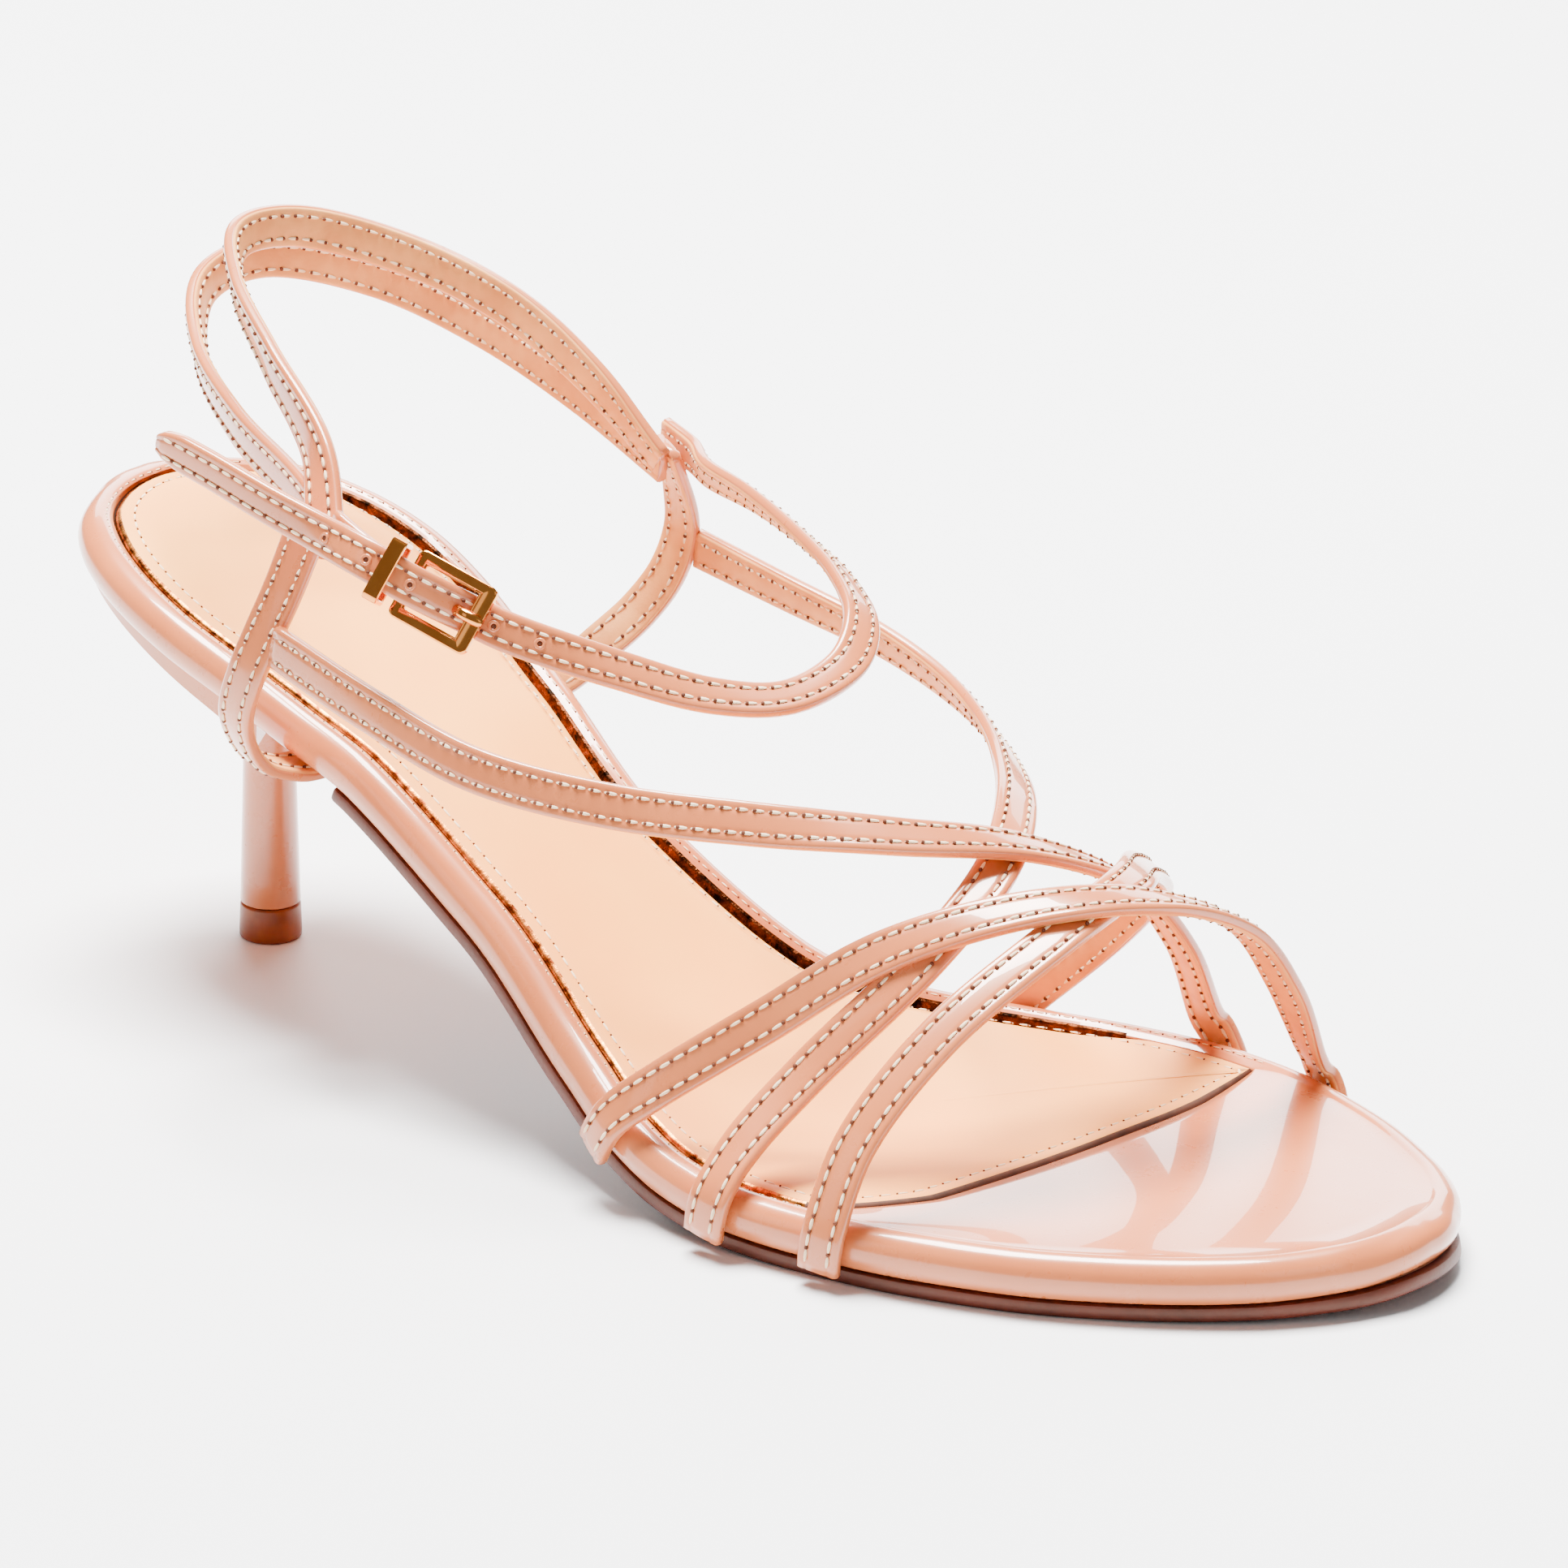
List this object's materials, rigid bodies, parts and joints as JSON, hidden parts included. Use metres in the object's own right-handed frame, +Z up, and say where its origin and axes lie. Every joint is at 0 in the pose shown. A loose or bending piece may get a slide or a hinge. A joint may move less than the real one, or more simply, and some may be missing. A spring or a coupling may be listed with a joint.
{
  "type": "strappy heeled sandal",
  "caption": "Women's heeled sandal with slim crossing toe straps, tall side posts, a buckled ankle strap, padded footbed and a slender round heel.",
  "frame": {"origin": "on the floor, under the middle of the overall box", "axes": "+Z up from the floor, -Y towards the toe, -X towards the outer (buckle) side of this right shoe"},
  "size_m": [0.093, 0.2306, 0.1086],
  "materials": {
    "patent_leather": "high-gloss nude pink patent with cream stitching",
    "sock_leather": "smooth satin, padded",
    "outsole": "smooth, dark brown",
    "heel_tip": "amber, slightly see-through",
    "gold_metal": "polished"
  },
  "bodies": {
    "root": {"insole_board": "patent_leather", "insole_sock": "sock_leather", "outsole": "outsole", "heel": "patent_leather", "heel_tip": "heel_tip", "upper_straps": "patent_leather", "ankle_strap": "patent_leather", "buckle_strip": "patent_leather", "buckle_frame": "gold_metal", "buckle_prong": "gold_metal", "buckle_keeper": "gold_metal"}
  },
  "joints": []
}
